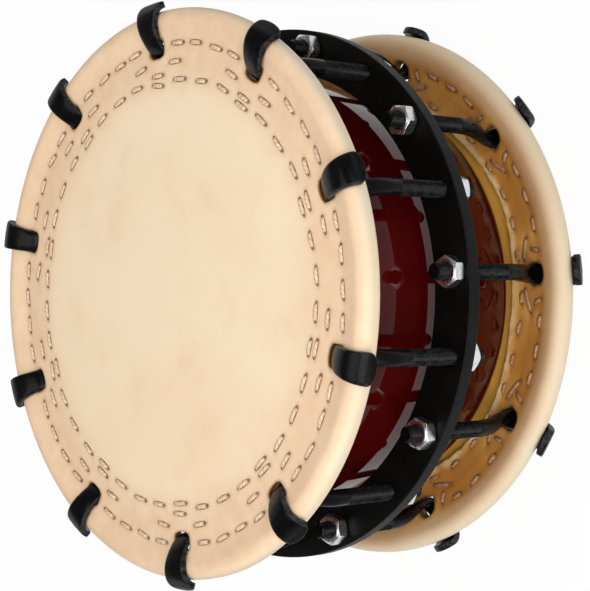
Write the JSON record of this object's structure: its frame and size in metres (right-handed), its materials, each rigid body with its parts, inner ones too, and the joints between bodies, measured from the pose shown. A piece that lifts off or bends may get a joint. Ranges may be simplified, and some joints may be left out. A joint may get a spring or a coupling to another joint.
{
  "type": "shime-daiko",
  "caption": "Shime-daiko with a red lacquered wooden body between two laced rawhide heads, which forged hook bolts and hex nuts draw together on a floating steel flange.",
  "frame": {"origin": "on the drum's axis, at the plane of the bottom hooks' claws, on which it stands", "axes": "+Z along the drum's axis, up towards the top head; +X towards the first top hook"},
  "size_m": [0.359, 0.359, 0.1897],
  "materials": {
    "rawhide": "dry cream rawhide",
    "red_lacquer": "deep red gloss lacquer",
    "black_steel": "satin black",
    "chrome": "bright",
    "bare_steel": "plain"
  },
  "bodies": {
    "drum": {"body_shell": "red_lacquer", "tension_flange": "black_steel", "top_head_skin": "rawhide", "bottom_head_skin": "rawhide", "top_head_ring": "bare_steel", "bottom_head_ring": "bare_steel"},
    "top_nut_01": {"top_nut_01": "chrome"},
    "top_hook_01": {"top_hook_01": "black_steel"},
    "top_nut_02": {"top_nut_02": "chrome"},
    "top_hook_02": {"top_hook_02": "black_steel"},
    "top_nut_03": {"top_nut_03": "chrome"},
    "top_hook_03": {"top_hook_03": "black_steel"},
    "top_nut_04": {"top_nut_04": "chrome"},
    "top_hook_04": {"top_hook_04": "black_steel"},
    "top_nut_05": {"top_nut_05": "chrome"},
    "top_hook_05": {"top_hook_05": "black_steel"},
    "top_nut_06": {"top_nut_06": "chrome"},
    "top_hook_06": {"top_hook_06": "black_steel"},
    "top_nut_07": {"top_nut_07": "chrome"},
    "top_hook_07": {"top_hook_07": "black_steel"},
    "top_nut_08": {"top_nut_08": "chrome"},
    "top_hook_08": {"top_hook_08": "black_steel"},
    "top_nut_09": {"top_nut_09": "chrome"},
    "top_hook_09": {"top_hook_09": "black_steel"},
    "top_nut_10": {"top_nut_10": "chrome"},
    "top_hook_10": {"top_hook_10": "black_steel"},
    "bottom_nut_01": {"bottom_nut_01": "chrome"},
    "bottom_hook_01": {"bottom_hook_01": "black_steel"},
    "bottom_nut_02": {"bottom_nut_02": "chrome"},
    "bottom_hook_02": {"bottom_hook_02": "black_steel"},
    "bottom_nut_03": {"bottom_nut_03": "chrome"},
    "bottom_hook_03": {"bottom_hook_03": "black_steel"},
    "bottom_nut_04": {"bottom_nut_04": "chrome"},
    "bottom_hook_04": {"bottom_hook_04": "black_steel"},
    "bottom_nut_05": {"bottom_nut_05": "chrome"},
    "bottom_hook_05": {"bottom_hook_05": "black_steel"},
    "bottom_nut_06": {"bottom_nut_06": "chrome"},
    "bottom_hook_06": {"bottom_hook_06": "black_steel"},
    "bottom_nut_07": {"bottom_nut_07": "chrome"},
    "bottom_hook_07": {"bottom_hook_07": "black_steel"},
    "bottom_nut_08": {"bottom_nut_08": "chrome"},
    "bottom_hook_08": {"bottom_hook_08": "black_steel"},
    "bottom_nut_09": {"bottom_nut_09": "chrome"},
    "bottom_hook_09": {"bottom_hook_09": "black_steel"},
    "bottom_nut_10": {"bottom_nut_10": "chrome"},
    "bottom_hook_10": {"bottom_hook_10": "black_steel"}
  },
  "joints": [
    {"name": "top_nut_01_turn", "type": "hinge", "parent": "drum", "child": "top_nut_01", "pos_m": [0.156, 0, 0.08346], "axis": [0, 0, -1], "range_deg": [0, 1800]},
    {"name": "top_hook_01_slide", "type": "slide", "parent": "drum", "child": "top_hook_01", "axis": [0, 0, 1], "range_m": [0, 0.0075]},
    {"name": "top_nut_02_turn", "type": "hinge", "parent": "drum", "child": "top_nut_02", "pos_m": [0.12621, 0.09169, 0.08346], "axis": [0, 0, -1], "range_deg": [0, 1800]},
    {"name": "top_hook_02_slide", "type": "slide", "parent": "drum", "child": "top_hook_02", "axis": [0, 0, 1], "range_m": [0, 0.0075]},
    {"name": "top_nut_03_turn", "type": "hinge", "parent": "drum", "child": "top_nut_03", "pos_m": [0.04821, 0.14836, 0.08346], "axis": [0, 0, -1], "range_deg": [0, 1800]},
    {"name": "top_hook_03_slide", "type": "slide", "parent": "drum", "child": "top_hook_03", "axis": [0, 0, 1], "range_m": [0, 0.0075]},
    {"name": "top_nut_04_turn", "type": "hinge", "parent": "drum", "child": "top_nut_04", "pos_m": [-0.04821, 0.14836, 0.08346], "axis": [0, 0, -1], "range_deg": [0, 1800]},
    {"name": "top_hook_04_slide", "type": "slide", "parent": "drum", "child": "top_hook_04", "axis": [0, 0, 1], "range_m": [0, 0.0075]},
    {"name": "top_nut_05_turn", "type": "hinge", "parent": "drum", "child": "top_nut_05", "pos_m": [-0.12621, 0.09169, 0.08346], "axis": [0, 0, -1], "range_deg": [0, 1800]},
    {"name": "top_hook_05_slide", "type": "slide", "parent": "drum", "child": "top_hook_05", "axis": [0, 0, 1], "range_m": [0, 0.0075]},
    {"name": "top_nut_06_turn", "type": "hinge", "parent": "drum", "child": "top_nut_06", "pos_m": [-0.156, 0, 0.08346], "axis": [0, 0, -1], "range_deg": [0, 1800]},
    {"name": "top_hook_06_slide", "type": "slide", "parent": "drum", "child": "top_hook_06", "axis": [0, 0, 1], "range_m": [0, 0.0075]},
    {"name": "top_nut_07_turn", "type": "hinge", "parent": "drum", "child": "top_nut_07", "pos_m": [-0.12621, -0.09169, 0.08346], "axis": [0, 0, -1], "range_deg": [0, 1800]},
    {"name": "top_hook_07_slide", "type": "slide", "parent": "drum", "child": "top_hook_07", "axis": [0, 0, 1], "range_m": [0, 0.0075]},
    {"name": "top_nut_08_turn", "type": "hinge", "parent": "drum", "child": "top_nut_08", "pos_m": [-0.04821, -0.14836, 0.08346], "axis": [0, 0, -1], "range_deg": [0, 1800]},
    {"name": "top_hook_08_slide", "type": "slide", "parent": "drum", "child": "top_hook_08", "axis": [0, 0, 1], "range_m": [0, 0.0075]},
    {"name": "top_nut_09_turn", "type": "hinge", "parent": "drum", "child": "top_nut_09", "pos_m": [0.04821, -0.14836, 0.08346], "axis": [0, 0, -1], "range_deg": [0, 1800]},
    {"name": "top_hook_09_slide", "type": "slide", "parent": "drum", "child": "top_hook_09", "axis": [0, 0, 1], "range_m": [0, 0.0075]},
    {"name": "top_nut_10_turn", "type": "hinge", "parent": "drum", "child": "top_nut_10", "pos_m": [0.12621, -0.09169, 0.08346], "axis": [0, 0, -1], "range_deg": [0, 1800]},
    {"name": "top_hook_10_slide", "type": "slide", "parent": "drum", "child": "top_hook_10", "axis": [0, 0, 1], "range_m": [0, 0.0075]},
    {"name": "bottom_nut_01_turn", "type": "hinge", "parent": "drum", "child": "bottom_nut_01", "pos_m": [0.14836, 0.04821, 0.10126], "axis": [0, 0, 1], "range_deg": [0, 1800]},
    {"name": "bottom_hook_01_slide", "type": "slide", "parent": "drum", "child": "bottom_hook_01", "axis": [0, 0, -1], "range_m": [0, 0.0075]},
    {"name": "bottom_nut_02_turn", "type": "hinge", "parent": "drum", "child": "bottom_nut_02", "pos_m": [0.14836, -0.04821, 0.10126], "axis": [0, 0, 1], "range_deg": [0, 1800]},
    {"name": "bottom_hook_02_slide", "type": "slide", "parent": "drum", "child": "bottom_hook_02", "axis": [0, 0, -1], "range_m": [0, 0.0075]},
    {"name": "bottom_nut_03_turn", "type": "hinge", "parent": "drum", "child": "bottom_nut_03", "pos_m": [0.09169, -0.12621, 0.10126], "axis": [0, 0, 1], "range_deg": [0, 1800]},
    {"name": "bottom_hook_03_slide", "type": "slide", "parent": "drum", "child": "bottom_hook_03", "axis": [0, 0, -1], "range_m": [0, 0.0075]},
    {"name": "bottom_nut_04_turn", "type": "hinge", "parent": "drum", "child": "bottom_nut_04", "pos_m": [0, -0.156, 0.10126], "axis": [0, 0, 1], "range_deg": [0, 1800]},
    {"name": "bottom_hook_04_slide", "type": "slide", "parent": "drum", "child": "bottom_hook_04", "axis": [0, 0, -1], "range_m": [0, 0.0075]},
    {"name": "bottom_nut_05_turn", "type": "hinge", "parent": "drum", "child": "bottom_nut_05", "pos_m": [-0.09169, -0.12621, 0.10126], "axis": [0, 0, 1], "range_deg": [0, 1800]},
    {"name": "bottom_hook_05_slide", "type": "slide", "parent": "drum", "child": "bottom_hook_05", "axis": [0, 0, -1], "range_m": [0, 0.0075]},
    {"name": "bottom_nut_06_turn", "type": "hinge", "parent": "drum", "child": "bottom_nut_06", "pos_m": [-0.14836, -0.04821, 0.10126], "axis": [0, 0, 1], "range_deg": [0, 1800]},
    {"name": "bottom_hook_06_slide", "type": "slide", "parent": "drum", "child": "bottom_hook_06", "axis": [0, 0, -1], "range_m": [0, 0.0075]},
    {"name": "bottom_nut_07_turn", "type": "hinge", "parent": "drum", "child": "bottom_nut_07", "pos_m": [-0.14836, 0.04821, 0.10126], "axis": [0, 0, 1], "range_deg": [0, 1800]},
    {"name": "bottom_hook_07_slide", "type": "slide", "parent": "drum", "child": "bottom_hook_07", "axis": [0, 0, -1], "range_m": [0, 0.0075]},
    {"name": "bottom_nut_08_turn", "type": "hinge", "parent": "drum", "child": "bottom_nut_08", "pos_m": [-0.09169, 0.12621, 0.10126], "axis": [0, 0, 1], "range_deg": [0, 1800]},
    {"name": "bottom_hook_08_slide", "type": "slide", "parent": "drum", "child": "bottom_hook_08", "axis": [0, 0, -1], "range_m": [0, 0.0075]},
    {"name": "bottom_nut_09_turn", "type": "hinge", "parent": "drum", "child": "bottom_nut_09", "pos_m": [0, 0.156, 0.10126], "axis": [0, 0, 1], "range_deg": [0, 1800]},
    {"name": "bottom_hook_09_slide", "type": "slide", "parent": "drum", "child": "bottom_hook_09", "axis": [0, 0, -1], "range_m": [0, 0.0075]},
    {"name": "bottom_nut_10_turn", "type": "hinge", "parent": "drum", "child": "bottom_nut_10", "pos_m": [0.09169, 0.12621, 0.10126], "axis": [0, 0, 1], "range_deg": [0, 1800]},
    {"name": "bottom_hook_10_slide", "type": "slide", "parent": "drum", "child": "bottom_hook_10", "axis": [0, 0, -1], "range_m": [0, 0.0075]}
  ],
  "couplings": [
    {"joint": "top_hook_01_slide", "follows": "top_nut_01_turn", "m_per_rad": 0.00023873},
    {"joint": "top_hook_02_slide", "follows": "top_nut_02_turn", "m_per_rad": 0.00023873},
    {"joint": "top_hook_03_slide", "follows": "top_nut_03_turn", "m_per_rad": 0.00023873},
    {"joint": "top_hook_04_slide", "follows": "top_nut_04_turn", "m_per_rad": 0.00023873},
    {"joint": "top_hook_05_slide", "follows": "top_nut_05_turn", "m_per_rad": 0.00023873},
    {"joint": "top_hook_06_slide", "follows": "top_nut_06_turn", "m_per_rad": 0.00023873},
    {"joint": "top_hook_07_slide", "follows": "top_nut_07_turn", "m_per_rad": 0.00023873},
    {"joint": "top_hook_08_slide", "follows": "top_nut_08_turn", "m_per_rad": 0.00023873},
    {"joint": "top_hook_09_slide", "follows": "top_nut_09_turn", "m_per_rad": 0.00023873},
    {"joint": "top_hook_10_slide", "follows": "top_nut_10_turn", "m_per_rad": 0.00023873},
    {"joint": "bottom_hook_01_slide", "follows": "bottom_nut_01_turn", "m_per_rad": 0.00023873},
    {"joint": "bottom_hook_02_slide", "follows": "bottom_nut_02_turn", "m_per_rad": 0.00023873},
    {"joint": "bottom_hook_03_slide", "follows": "bottom_nut_03_turn", "m_per_rad": 0.00023873},
    {"joint": "bottom_hook_04_slide", "follows": "bottom_nut_04_turn", "m_per_rad": 0.00023873},
    {"joint": "bottom_hook_05_slide", "follows": "bottom_nut_05_turn", "m_per_rad": 0.00023873},
    {"joint": "bottom_hook_06_slide", "follows": "bottom_nut_06_turn", "m_per_rad": 0.00023873},
    {"joint": "bottom_hook_07_slide", "follows": "bottom_nut_07_turn", "m_per_rad": 0.00023873},
    {"joint": "bottom_hook_08_slide", "follows": "bottom_nut_08_turn", "m_per_rad": 0.00023873},
    {"joint": "bottom_hook_09_slide", "follows": "bottom_nut_09_turn", "m_per_rad": 0.00023873},
    {"joint": "bottom_hook_10_slide", "follows": "bottom_nut_10_turn", "m_per_rad": 0.00023873}
  ]
}
